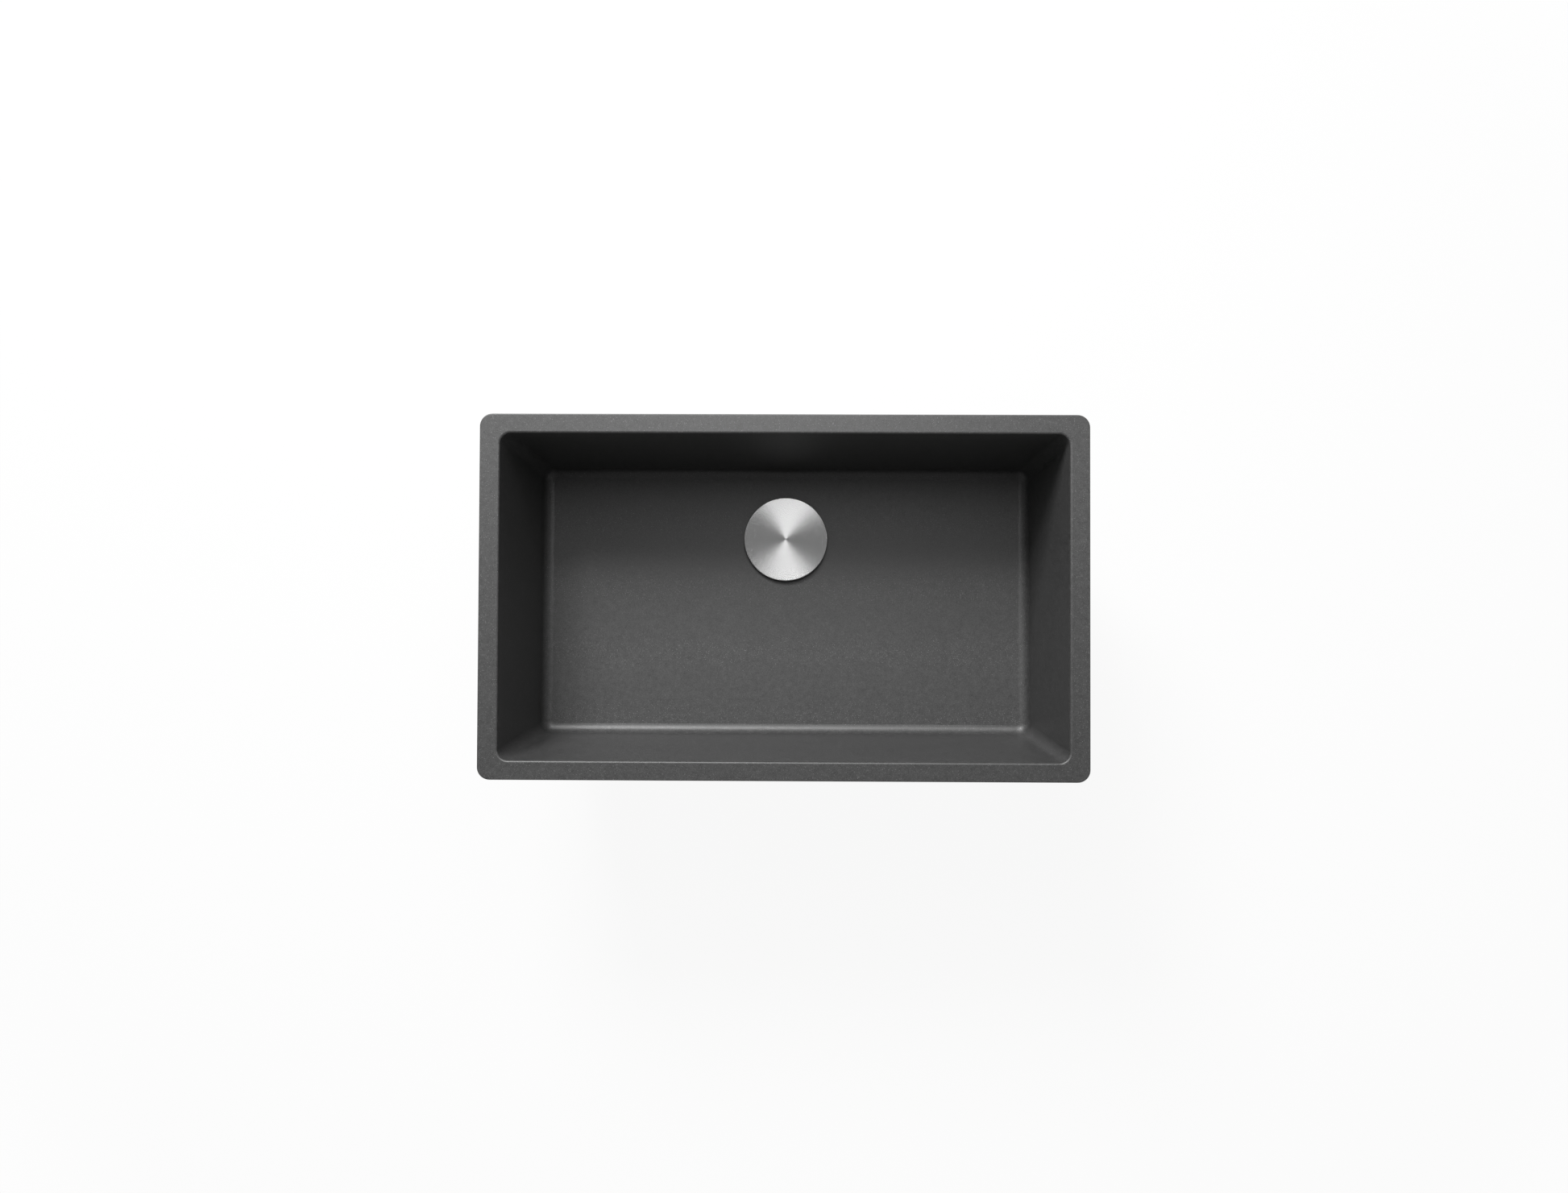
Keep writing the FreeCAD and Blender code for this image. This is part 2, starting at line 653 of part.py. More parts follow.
def basket_cup():
    """The pressed basket, with rings of small holes in its floor and two rows in its wall."""
    body = new_drain_body("basket_cup")
    points = [
        (BASKET_RADIUS, BASKET_TOP),
        (BASKET_RADIUS, f"{BASKET_TOP} - basket_sheet"),
        (BASKET_WALL, f"{BASKET_TOP} - basket_sheet"),
        (BASKET_BASE, BASKET_UNDER),
        (POST_HOLE, BASKET_UNDER),
        (POST_HOLE, BASKET_FLOOR),
        (f"{BASKET_BASE} - basket_sheet", BASKET_FLOOR),
        (f"{BASKET_WALL} - basket_sheet", BASKET_TOP),
    ]
    rounded(turned(body, points), "basket_round", on_ring(BASKET_UNDER, BASKET_BASE))

    ring = f"({BASKET_BASE} - hole_margin)"
    while number(f"{ring} - small_hole") > number("collar_radius + small_hole"):
        hole = new_sketch(body, "floor_hole", height=BASKET_FLOOR)
        circle(hole, "small_hole", x=ring)
        count = int(2 * math.pi * number(ring) / number("hole_spacing"))
        around(pocket(hole, f"basket_sheet + {PAST}"), count)
        ring = f"({ring} - hole_pitch)"

    count = int(2 * math.pi * number(BASKET_BASE) / number("side_hole_spacing"))
    for share in SIDE_ROWS:
        hole = new_sketch(body, "wall_hole", plane="YZ_Plane", height=f"{BASKET_BASE} / 2")
        circle(hole, "side_hole", y=f"{BASKET_TOP} - {share} * ({BASKET_TOP} - {BASKET_FLOOR})")
        around(pocket(hole, BASKET_RADIUS, reverse=True), count)
    return body


def basket_post():
    """The post that carries the basket, stopper and knob; its collar rests on the basket's floor."""
    body = new_drain_body("basket_post")
    collar_top = f"({BASKET_FLOOR} + collar_height)"
    end = f"({STOPPER_UNDER} - post_tip_length)"
    points = [
        ("0", KNOB_SOCKET_TOP),
        ("post_radius", KNOB_SOCKET_TOP),
        ("post_radius", collar_top),
        ("collar_radius", collar_top),
        ("collar_radius", BASKET_FLOOR),
        ("post_radius", BASKET_FLOOR),
        ("post_radius", STOPPER_UNDER),
        ("post_tip", STOPPER_UNDER),
        ("post_tip", end),
        ("0", end),
    ]
    rounded(turned(body, points), "collar_round", on_ring(collar_top, "collar_radius"))
    return body


def post_spacer():
    return flat_ring("post_spacer", POST_HOLE, "collar_radius", BASKET_UNDER, WASHER_TOP)


def stopper_washer():
    return flat_ring("stopper_washer", POST_HOLE, "washer_radius", WASHER_TOP, STOPPER_TOP)


def stopper():
    """The rubber disc that closes the outlet when the basket is pushed down."""
    body = new_drain_body("stopper")
    shoulder = f"({STOPPER_UNDER} + stopper_skirt)"
    crown = f"({STOPPER_RADIUS} - stopper_height + stopper_skirt)"
    points = [
        (POST_HOLE, STOPPER_TOP),
        (crown, STOPPER_TOP),
        (STOPPER_RADIUS, shoulder),
        (STOPPER_RADIUS, STOPPER_UNDER),
        (POST_HOLE, STOPPER_UNDER),
    ]
    rounded(turned(body, points), "stopper_round", on_ring(STOPPER_TOP, crown))
    return body


def post_catch():
    """The nylon catch that grips the strainer's hub; slots let its tip spring in."""
    body = new_drain_body("post_catch")
    head_under = f"({STOPPER_UNDER} - catch_head_height)"
    end = f"({STOPPER_UNDER} - catch_length)"
    socket = f"({STOPPER_UNDER} - post_tip_length)"
    points = [
        ("post_tip", STOPPER_UNDER),
        ("catch_head", STOPPER_UNDER),
        ("catch_head", head_under),
        ("catch_radius", head_under),
        ("catch_radius", end),
        ("0", end),
        ("0", socket),
        ("post_tip", socket),
    ]
    rounded(turned(body, points), "catch_round", on_ring(end, "catch_radius"))
    slot = new_sketch(body, "slot", height=end)
    half, reach = "(catch_slot / 2)", f"(catch_radius + {PAST})"
    outline(slot, [(f"-{reach}", f"-{half}"), (reach, f"-{half}"), (reach, half), (f"-{reach}", half)])
    around(pocket(slot, "catch_slot_depth", reverse=True), CATCH_SLOTS, angle=180 - 180 / CATCH_SLOTS)
    return body


def basket_knob():
    body = new_drain_body("basket_knob")
    cap = f"({KNOB_TOP} - knob_cap)"
    points = [
        ("0", KNOB_SOCKET_TOP),
        ("post_radius", KNOB_SOCKET_TOP),
        ("post_radius", KNOB_UNDER),
        ("knob_waist", KNOB_UNDER),
        ("knob_waist", f"{cap} - knob_flare"),
        ("knob_radius", cap),
        ("knob_radius", KNOB_TOP),
        ("0", KNOB_TOP),
    ]
    rounded(turned(body, points), "knob_round", on_ring(KNOB_TOP, "knob_radius"))
    return body


def cover_disc():
    """The round steel plate over the drain, with its edge turned down."""
    body = new_drain_body("cover_disc")
    lip_under, lip_inner = "(cover_rise - cover_lip)", f"({COVER_RADIUS} - cover_sheet)"
    points = [
        ("0", COVER_UNDER),
        (lip_inner, COVER_UNDER),
        (lip_inner, lip_under),
        (COVER_RADIUS, lip_under),
        (COVER_RADIUS, "cover_rise"),
        ("0", "cover_rise"),
    ]
    rounded(turned(body, points), "cover_round", on_ring("cover_rise", COVER_RADIUS))
    return body


def cover_stud():
    """The threaded stud, welded under the middle of the cover's plate."""
    body = new_drain_body("cover_stud")
    points = [("0", STUD_END), ("stud_radius", STUD_END), ("stud_radius", COVER_UNDER), ("0", COVER_UNDER)]
    rounded(turned(body, points), "stud_round", on_ring(STUD_END, "stud_radius"))
    return body


def cover_carrier():
    """The moulded spider under the plate: each fin has a leg in the drain and a foot over the flange."""
    body = new_drain_body("cover_carrier")
    hub = new_sketch(body, "hub", height=COVER_UNDER)
    circle(hub, "hub_plate_radius")
    pad(hub, "hub_plate_height", down=True)
    hoop = new_sketch(body, "hoop", height=COVER_UNDER)
    circle(hoop, HOOP_RADIUS)
    circle(hoop, f"{HOOP_RADIUS} - hoop_width")
    pad(hoop, "hoop_height", down=True)

    fin = new_sketch(body, "fin", plane="XZ_Plane", height="-fin_width / 2")
    outline(
        fin,
        [
            ("hub_plate_radius / 2", COVER_UNDER),
            ("hub_plate_radius / 2", FIN_UNDER),
            (LEG_INNER, FIN_UNDER),
            (LEG_INNER, "-leg_depth"),
            (LEG_OUTER, "-leg_depth"),
            (LEG_OUTER, FIN_UNDER),
            (FOOT_INNER, FIN_UNDER),
            (FOOT_INNER, FOOT_UNDER),
            (FOOT_OUTER, FOOT_UNDER),
            (FOOT_OUTER, COVER_UNDER),
        ],
    )
    around(pad(fin, "fin_width"), FINS)
    hole = new_sketch(body, "stud_hole", height=COVER_UNDER)
    circle(hole, STUD_HOLE)
    pocket(hole, f"hub_plate_height + {PAST}")
    body.setExpression("Placement.Rotation.Angle", cells("fin_turn"))
    return body


def cover_pads():
    """The four soft pads under the carrier's feet, as one group."""
    body = new_drain_body("cover_pads")
    body.AllowCompound = True
    foot = new_sketch(body, "foot", height=FOOT_UNDER)
    side = "(fin_width / 2 + pad_margin)"
    corners = [(FOOT_INNER, f"-{side}"), (FOOT_OUTER, f"-{side}"), (FOOT_OUTER, side), (FOOT_INNER, side)]
    outline(foot, corners)
    around(pad(foot, "pad_thickness", down=True), FINS)
    body.setExpression("Placement.Rotation.Angle", cells("fin_turn"))
    return body


def cover_lock_washer():
    return flat_ring("cover_lock_washer", STUD_HOLE, "lock_washer_radius", HUB_PLATE_UNDER, LOCK_WASHER_UNDER)


def cover_nut():
    body = new_drain_body("cover_nut")
    sketch = new_sketch(body, "hexagon", height=LOCK_WASHER_UNDER)
    corner = "(nut_flats / 2 / cos(30))"
    turns = range(0, 360, 60)
    outline(sketch, [(f"{corner} * cos({turn})", f"{corner} * sin({turn})") for turn in turns])
    circle(sketch, STUD_HOLE)
    pad(sketch, "nut_height", down=True)
    return body


PIECES = [
    sink_bowl,
    flange_seal,
    strainer_body,
    body_gasket,
    friction_ring,
    locknut,
    tailpiece_washer,
    tailpiece,
    slip_nut,
    basket_cup,
    basket_post,
    post_spacer,
    stopper_washer,
    stopper,
    post_catch,
    basket_knob,
    cover_disc,
    cover_stud,
    cover_carrier,
    cover_pads,
    cover_lock_washer,
    cover_nut,
]


def main():
    bodies = [make() for make in PIECES]
    doc.recompute()
    for item in doc.Objects:
        if {"Invalid", "Error"} & set(item.State):
            raise RuntimeError(f"{item.Label} failed: {item.State}")
    for body in bodies:
        if body.Shape.isNull() or not body.Shape.isValid():
            raise RuntimeError(f"{body.Label} has no valid shape")
    os.makedirs("parts", exist_ok=True)
    for body in bodies:
        body.Shape.exportStep(f"parts/{body.Label}.step")
        print(f"{body.Label}: {len(body.Shape.Solids)} solid(s), {body.Shape.Volume / 1000:.2f} cm3")


main()
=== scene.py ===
import math

import bpy
from mathutils import Euler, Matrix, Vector


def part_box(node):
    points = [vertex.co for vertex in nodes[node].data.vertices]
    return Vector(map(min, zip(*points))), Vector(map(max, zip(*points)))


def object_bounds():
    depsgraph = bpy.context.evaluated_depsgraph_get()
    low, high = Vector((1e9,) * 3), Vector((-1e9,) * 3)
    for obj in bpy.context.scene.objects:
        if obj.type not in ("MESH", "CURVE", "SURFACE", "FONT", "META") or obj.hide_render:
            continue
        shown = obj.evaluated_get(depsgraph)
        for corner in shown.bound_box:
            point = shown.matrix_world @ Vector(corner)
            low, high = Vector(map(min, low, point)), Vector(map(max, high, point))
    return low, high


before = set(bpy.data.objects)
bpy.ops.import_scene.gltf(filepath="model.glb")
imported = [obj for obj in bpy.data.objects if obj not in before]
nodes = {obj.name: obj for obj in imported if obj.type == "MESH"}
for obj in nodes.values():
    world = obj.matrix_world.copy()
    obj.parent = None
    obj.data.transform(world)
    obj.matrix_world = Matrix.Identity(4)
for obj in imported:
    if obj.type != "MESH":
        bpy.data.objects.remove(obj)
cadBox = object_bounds()
print("frame loaded with", len(nodes), "nodes")


# A socket that reads as a number: an expression on it adds Math nodes.
class Link:
    def __init__(self, shade, socket):
        self.shade = shade
        self.socket = socket

    def out(self, name):
        return Link(self.shade, self.socket.node.outputs[name])

    def maths(self, operation, first, second):
        return self.shade.add("ShaderNodeMath", {"operation": operation}, {0: first, 1: second})

    def __add__(self, other):
        return self.maths("ADD", self, other)

    def __radd__(self, other):
        return self.maths("ADD", other, self)

    def __sub__(self, other):
        return self.maths("SUBTRACT", self, other)

    def __rsub__(self, other):
        return self.maths("SUBTRACT", other, self)

    def __mul__(self, other):
        return self.maths("MULTIPLY", self, other)

    def __rmul__(self, other):
        return self.maths("MULTIPLY", other, self)

    def __truediv__(self, other):
        return self.maths("DIVIDE", self, other)

    def __pow__(self, other):
        return self.maths("POWER", self, other)

    def larger(self, other):
        return self.maths("MAXIMUM", self, other)

    def swing(self, amount):  # a pattern that runs from 0 to 1, moved to run evenly about zero
        return (self - 0.5) * amount


# One node tree. Every node comes from add, and the other methods name the ones used most.
class Shade:
    def __init__(self, owner):
        owner.use_nodes = True
        self.tree = owner.node_tree
        self.tree.nodes.clear()

    def add(self, kind, settings=None, inputs=None, output=0):
        node = self.tree.nodes.new(kind)
        for name, value in (settings or {}).items():
            if name == "stops":
                self.setStops(node.color_ramp, value)
            else:
                setattr(node, name, value)
        for name, value in (inputs or {}).items():
            if isinstance(value, Link):
                self.tree.links.new(value.socket, node.inputs[name])
            else:
                node.inputs[name].default_value = value
        if node.outputs:
            return Link(self, node.outputs[output])

    def setStops(self, ramp, stops):
        for stop in stops[2:]:  # a new ramp has two already
            ramp.elements.new(stop[0])
        for element, (place, colour) in zip(ramp.elements, stops):
            element.position = place
            element.color = (*colour, 1)

    def place(self):  # metres in the part's own frame, the same at every pose
        return self.add("ShaderNodeTexCoord", output="Object")

    def facing(self):
        return self.split(self.add("ShaderNodeTexCoord", output="Normal"))

    def split(self, vector):
        x = self.add("ShaderNodeSeparateXYZ", inputs={0: vector})
        return x, x.out("Y"), x.out("Z")

    def join(self, x, y, z):
        return self.add("ShaderNodeCombineXYZ", inputs={0: x, 1: y, 2: z})

    def stretch(self, vector, scale):
        return self.add("ShaderNodeVectorMath", {"operation": "MULTIPLY"}, {0: vector, 1: scale})

    def turn(self, vector, angle):  # about Z
        settings = {"rotation_type": "Z_AXIS"}
        return self.add("ShaderNodeVectorRotate", settings, {"Vector": vector, "Angle": angle})

    def noise(self, vector, size, detail=2.0, rough=0.5, distort=0.0):
        inputs = {"Scale": 1 / size, "Detail": detail, "Roughness": rough, "Distortion": distort}
        return self.add("ShaderNodeTexNoise", inputs={"Vector": vector, **inputs})

    def cells(self, vector, size, output="Color"):
        inputs = {"Vector": vector, "Scale": 1 / size}
        return self.add("ShaderNodeTexVoronoi", inputs=inputs, output=output)

    def fade(self, value, low, high):  # 0 at low, 1 at high, smooth between
        inputs = {"Value": value, "From Min": low, "From Max": high}
        return self.add("ShaderNodeMapRange", {"interpolation_type": "SMOOTHSTEP"}, inputs)

    def ramp(self, value, stops):
        return self.add("ShaderNodeValToRGB", {"stops": stops}, {0: value})

    def mix(self, factor, first, second, mode="MIX"):
        inputs = {0: factor}
        for socket, colour in ((6, first), (7, second)):  # the node's two colour inputs
            inputs[socket] = colour if isinstance(colour, Link) else (*colour, 1)
        settings = {"data_type": "RGBA", "blend_type": mode}
        return self.add("ShaderNodeMix", settings, inputs, 2)  # output 2 is the colour

    def tint(self, colour, tone):  # a colour made darker or lighter by a number near 1
        return self.mix(1.0, colour, self.join(tone, tone, tone), "MULTIPLY")

    def bump(self, height, depth):  # depth in metres for a height from 0 to 1
        return self.add("ShaderNodeBump", inputs={"Height": height, "Distance": depth})


def newMaterial(name, paint):
    material = bpy.data.materials.new(name)
    shade = Shade(material)
    surface = shade.add("ShaderNodeBsdfPrincipled", inputs=paint(shade))
    shade.add("ShaderNodeOutputMaterial", inputs={"Surface": surface})
    return material


def coat(material, *names):
    for name in names:
        slots = nodes[name].data.materials
        slots.clear()
        slots.append(material)
    print("finished", ", ".join(names))


tiny = 1e-5  # keeps a division away from zero


def length(x, y):
    return (x * x + y * y) ** 0.5


drainAxis = (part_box("tailpiece")[0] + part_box("tailpiece")[1]) / 2


# distance from the drain's axis, the direction round it as two numbers, and the height
def aroundDrain(shade):
    x, y, z = shade.split(shade.place())
    x = x - drainAxis.x
    y = y - drainAxis.y
    radius = length(x, y)
    return radius, x / (radius + tiny), y / (radius + tiny), z


# fine rings left by turning or moulding about the drain's axis, each a part of the way round
turning = {"wander": 2.5, "detail": 2, "rough": 0.6}


def turnedRings(shade, ring):
    radius, turnX, turnY, z = aroundDrain(shade)
    wander = turning["wander"]
    spot = shade.join(radius + z, turnX * ring * wander, turnY * ring * wander)
    return shade.noise(spot, ring, turning["detail"], turning["rough"])


# fine straight scratches: noise drawn out in one direction, with only its crests kept
scratch = {"drawnOut": (1, 0.03, 0.03), "crest": (0.64, 0.72)}


def scratches(shade, width, angle):
    drawn = shade.stretch(shade.turn(shade.place(), angle), scratch["drawnOut"])
    return shade.fade(shade.noise(drawn, width), *scratch["crest"])


# the camera that the photograph's rim and floor edges give
camera = {
    "place": (0.0274, -0.0565, 2.1453),
    "degrees": (1.537, 0.712, 0.238),
    "focalPixels": 1976,
    "imageWidth": 1946,
    "sensor": 36.0,
    "near": 0.05,
    "far": 50,
}


def makeCamera():
    data = bpy.data.cameras.new("camera")
    data.sensor_width = camera["sensor"]
    data.lens = camera["sensor"] * camera["focalPixels"] / camera["imageWidth"]
    data.clip_start = camera["near"]
    data.clip_end = camera["far"]
    eye = bpy.data.objects.new("camera", data)
    eye.location = camera["place"]
    eye.rotation_euler = Euler([math.radians(angle) for angle in camera["degrees"]])
    bpy.context.scene.collection.objects.link(eye)
    bpy.context.scene.camera = eye
    bpy.context.scene.view_settings.view_transform = "Standard"


makeCamera()
print("camera placed")


# Sizes in every dictionary are metres and angles radians. A pair says where a fade starts and ends.

# moulded quartz composite: dark resin filled with fine grains of several greys and paler quartz specks
composite = {
    "grain": 0.0008,
    "dust": 0.00036,
    "mottle": 0.008,
    "cloud": 0.06,
    "levels": (0.0, 0.22, 0.6, 1.0),
    "greys": [(grey, grey, grey) for grey in (0.018, 0.034, 0.053, 0.125)],
    "speck": 0.0015,
    "speckShare": (0.70, 0.74),  # the cells from here up hold a speck
    "quartz": (0.190, 0.190, 0.190),
    "roughness": 0.50,
    "shine": 0.76,
    "peel": 0.0006,
    "pit": 0.0018,
    "grainDepth": 0.00004,
}
# its outside and underside keep the mould's raw face: paler, rougher, with flow marks
rawFace = {
    "top": -0.0105,  # the finished face ends here, half way down the rim's edge
    "blend": 0.001,
    "outward": (0.2, 0.5),
    "downward": (-0.35, -0.6),
    "flow": 0.03,
    "upright": (1, 1, 0.35),
    "chalked": (0.35, 0.7),
    "tint": (0.115, 0.112, 0.108),
    "roughness": 0.78,
}


def paintComposite(s):
    spot = s.place()
    x, y, z = s.split(spot)
    nx, ny, nz = s.facing()

    grain = s.split(s.cells(spot, composite["grain"]))[0]
    dust = s.split(s.cells(spot, composite["dust"]))[1]
    mottle = s.noise(spot, composite["mottle"], 4, 0.65)
    cloud = s.noise(spot, composite["cloud"], 3)
    mixed = grain * 0.52 + dust * 0.2 + mottle.swing(0.60) + cloud.swing(0.12)
    resin = s.ramp(mixed, list(zip(composite["levels"], composite["greys"])))

    specks = s.cells(spot, composite["speck"])
    tone, reach, pick = s.split(specks)
    fromMiddle = specks.out("Distance") / (0.05 + reach * 0.35)  # specks differ in size and paleness
    quartz = s.fade(pick, *composite["speckShare"]) * (1 - s.fade(fromMiddle, 0.6, 1.0))
    smooth = s.mix(quartz * (0.35 + tone * 0.65), resin, composite["quartz"])

    # the raw face is told by where the surface faces and by its height
    outward = (nx * x + ny * y) / (length(x, y) + tiny)
    hidden = s.fade(outward, *rawFace["outward"]).larger(s.fade(nz, *rawFace["downward"]))
    raw = hidden * s.fade(z, rawFace["top"] + rawFace["blend"], rawFace["top"] - rawFace["blend"])
    flow = s.noise(s.stretch(spot, rawFace["upright"]), rawFace["flow"], 4, 0.6, 0.4)
    chalk = s.mix(s.fade(flow, *rawFace["chalked"]) * 0.5, rawFace["tint"], composite["greys"][2])

    peel = s.noise(spot, composite["peel"], 2)
    pits = s.noise(spot, composite["pit"], 3, 0.6)
    rough = composite["roughness"] + grain.swing(0.10) + mottle.swing(0.12)
    return {
        "Base Color": s.mix(raw, smooth, s.mix(0.45, chalk, smooth)),
        "Roughness": rough + raw * (rawFace["roughness"] - composite["roughness"]),
        "Specular IOR Level": composite["shine"],
        "Normal": s.bump(peel * 0.4 + pits * (1.1 + raw * 2), composite["grainDepth"]),
    }


coat(newMaterial("quartzComposite", paintComposite), "sink_bowl")


# circular brushed stainless steel: fine rings round the axis, highlights that spread across them, and a
# painted highlight round the edge
coverSteel = {
    "tint": (0.53, 0.53, 0.53),
    "roughness": 0.265,
    "anisotropy": 0.86,
    "quarterTurn": 0.25,  # so that the highlights spread across the rings
    "ring": 0.00022,
    "ringArc": 0.0012,
    "band": 0.0025,
    "bandArc": 0.0004,
    "smudge": 0.03,
    "depth": 0.000003,
    "paintedEdgeHighlight": (0.86, 0.86, 0.86),  # a painted highlight along the turned-down edge
    "edgeHighlightWidth": 0.0010,
    "edgeHighlightBlend": 0.0004,
}
coverRadius = (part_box("cover_disc")[1].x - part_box("cover_disc")[0].x) / 2


def paintCover(s):
    radius, turnX, turnY, _ = aroundDrain(s)
    ringArc, bandArc = coverSteel["ringArc"], coverSteel["bandArc"]
    rings = s.noise(s.join(radius, turnX * ringArc, turnY * ringArc), coverSteel["ring"], 3, 0.65)
    bands = s.noise(s.join(radius, turnX * bandArc, turnY * bandArc), coverSteel["band"], 2)
    smudge = s.noise(s.place(), coverSteel["smudge"], 3, 0.55)
    brushed = s.tint(coverSteel["tint"], 0.97 + rings.swing(0.10) + bands.swing(0.04))
    # a painted highlight: the outermost ring is given a much lighter colour than the brushed face
    inner = coverRadius - coverSteel["edgeHighlightWidth"]
    edge = s.fade(radius, inner, inner + coverSteel["edgeHighlightBlend"])
    return {
        "Base Color": s.mix(edge, brushed, coverSteel["paintedEdgeHighlight"]),
        "Metallic": 1.0,
        "Roughness": coverSteel["roughness"] + rings.swing(0.05) + smudge.swing(0.012),
        "Anisotropic": coverSteel["anisotropy"],
        "Anisotropic Rotation": coverSteel["quarterTurn"],
        "Normal": s.bump(rings, coverSteel["depth"]),
    }


coat(newMaterial("circularBrushedSteel", paintCover), "cover_disc")


# stainless sheet drawn into a cup and polished: soft waves, draw lines down the walls, fine scratches
drawnSteel = {
    "tint": (0.54, 0.54, 0.545),
    "dull": (0.42, 0.42, 0.425),
    "dulled": (0.4, 0.75),
    "roughness": 0.18,
    "drawLine": 0.0007,
    "wallRadius": 0.035,
    "drawnOut": 0.04,
    "wave": 0.009,
    "smudge": 0.02,
    "scratch": 0.0005,
    "scratchAngles": (0.6, 2.1),
    "depth": 0.000008,
}


def paintDrawnSteel(s):
    radius, turnX, turnY, z = aroundDrain(s)
    wall, drawnOut = drawnSteel["wallRadius"], drawnSteel["drawnOut"]
    unrolled = s.join(turnX * wall, turnY * wall, (radius + z) * drawnOut)
    lines = s.noise(unrolled, drawnSteel["drawLine"], 2, 0.6)
    waves = s.noise(s.place(), drawnSteel["wave"], 2)
    smudge = s.noise(s.place(), drawnSteel["smudge"], 4, 0.65)
    first, second = [scratches(s, drawnSteel["scratch"], angle) for angle in drawnSteel["scratchAngles"]]
    marks = first.larger(second)
    dull = s.fade(smudge, *drawnSteel["dulled"]) * 0.5
    return {
        "Base Color": s.mix(dull, drawnSteel["tint"], drawnSteel["dull"]),
        "Metallic": 1.0,
        "Roughness": drawnSteel["roughness"] + lines.swing(0.10) + smudge * 0.08 + marks * 0.07,
        "Normal": s.bump(waves * 3 + lines * 0.8 - marks * 0.3, drawnSteel["depth"]),
    }


coat(newMaterial("drawnSteel", paintDrawnSteel), "strainer_body", "basket_cup")


# bar and sheet steel turned or stamped into small parts
turnedSteel = {
    "tint": (0.52, 0.52, 0.53),
    "roughness": 0.27,
    "ring": 0.00025,
    "stain": 0.006,
    "depth": 0.000006,
}


def paintTurnedSteel(s):
    rings = turnedRings(s, turnedSteel["ring"])
    stain = s.noise(s.place(), turnedSteel["stain"], 4, 0.6)
    return {
        "Base Color": s.tint(turnedSteel["tint"], 0.92 + rings.swing(0.2) + stain.swing(0.2)),
        "Metallic": 1.0,
        "Roughness": turnedSteel["roughness"] + rings.swing(0.18) + stain.swing(0.14),
        "Normal": s.bump(rings, turnedSteel["depth"]),
    }


steelParts = ("basket_post", "stopper_washer", "cover_stud", "cover_lock_washer", "cover_nut")
coat(newMaterial("turnedSteel", paintTurnedSteel), *steelParts)


# plumber's putty, pressed out by hand: lumps, a slight oily sheen in the hollows and specks of chalk
putty = {
    "body": (0.50, 0.47, 0.40),
    "oil": (0.36, 0.33, 0.26),
    "oily": (0.6, 0.35),
    "sheen": (0.55, 0.3),
    "chalk": (0.70, 0.69, 0.66),
    "chalkCell": 0.0007,
    "chalkShare": (0.86, 0.94),
    "roughness": 0.72,
    "lump": 0.004,
    "crease": 0.0012,
    "depth": 0.00025,
}


def paintPutty(s):
    lumps = s.noise(s.place(), putty["lump"], 4, 0.55, 0.6)
    creases = s.noise(s.place(), putty["crease"], 3, 0.6)
    chalk = s.fade(s.split(s.cells(s.place(), putty["chalkCell"]))[2], *putty["chalkShare"])
    colour = s.mix(s.fade(lumps, *putty["oily"]), putty["body"], putty["oil"])
    return {
        "Base Color": s.mix(chalk * 0.5, colour, putty["chalk"]),
        "Roughness": putty["roughness"] - s.fade(lumps, *putty["sheen"]) * 0.22 + creases.swing(0.1),
        "Normal": s.bump(lumps + creases * 0.25, putty["depth"]),
    }


coat(newMaterial("plumbersPutty", paintPutty), "flange_seal")


# moulded black rubber: turned mould rings, a fine grain and a pale bloom that comes out with age
rubber = {
    "black": (0.024, 0.024, 0.025),
    "bloom": (0.075, 0.075, 0.072),
    "bloomSize": 0.012,
    "bloomed": (0.42, 0.78),
    "lintCell": 0.0011,
    "lintShare": (0.95, 0.98),
    "roughness": 0.60,
    "ring": 0.0007,
    "grain": 0.00035,
    "depth": 0.00002,
}


def paintRubber(s):
    rings = turnedRings(s, rubber["ring"])
    grain = s.noise(s.place(), rubber["grain"], 3, 0.6)
    bloom = s.fade(s.noise(s.place(), rubber["bloomSize"], 4, 0.65), *rubber["bloomed"])
    lint = s.fade(s.split(s.cells(s.place(), rubber["lintCell"]))[0], *rubber["lintShare"])
    return {
        "Base Color": s.mix(bloom * 0.55 + lint * 0.35, rubber["black"], rubber["bloom"]),
        "Roughness": rubber["roughness"] + bloom * 0.18 + rings.swing(0.10),
        "Normal": s.bump(rings * 0.6 + grain * 0.5, rubber["depth"]),
    }


coat(newMaterial("mouldedRubber", paintRubber), "body_gasket", "stopper")


# pressed vulcanised fibre: strands that lie in three directions under a light varnish
fibre = {
    "pulp": (0.235, 0.150, 0.090),
    "strand": (0.360, 0.255, 0.165),
    "dark": (0.120, 0.070, 0.042),
    "roughness": 0.68,
    "strandWidth": 0.00025,
    "strandAngles": (0.2, 1.3, 2.4),
    "strandShape": (1, 0.07, 0.3),
    "strandCrest": (0.55, 0.75),
    "blotch": 0.005,
    "blotched": (0.35, 0.7),
    "depth": 0.00003,
}


def paintFibre(s):
    strands = 0.0
    for angle in fibre["strandAngles"]:
        laid = s.stretch(s.turn(s.place(), angle), fibre["strandShape"])
        strands = strands + s.fade(s.noise(laid, fibre["strandWidth"], 2), *fibre["strandCrest"])
    blotch = s.noise(s.place(), fibre["blotch"], 4, 0.6)
    pulp = s.mix(s.fade(blotch, *fibre["blotched"]), fibre["dark"], fibre["pulp"])
    return {
        "Base Color": s.mix(strands * 0.4, pulp, fibre["strand"]),
        "Roughness": fibre["roughness"] + blotch.swing(0.2),
        "Normal": s.bump(strands * 0.3 + blotch * 0.5, fibre["depth"]),
    }


coat(newMaterial("vulcanisedFibre", paintFibre), "friction_ring")


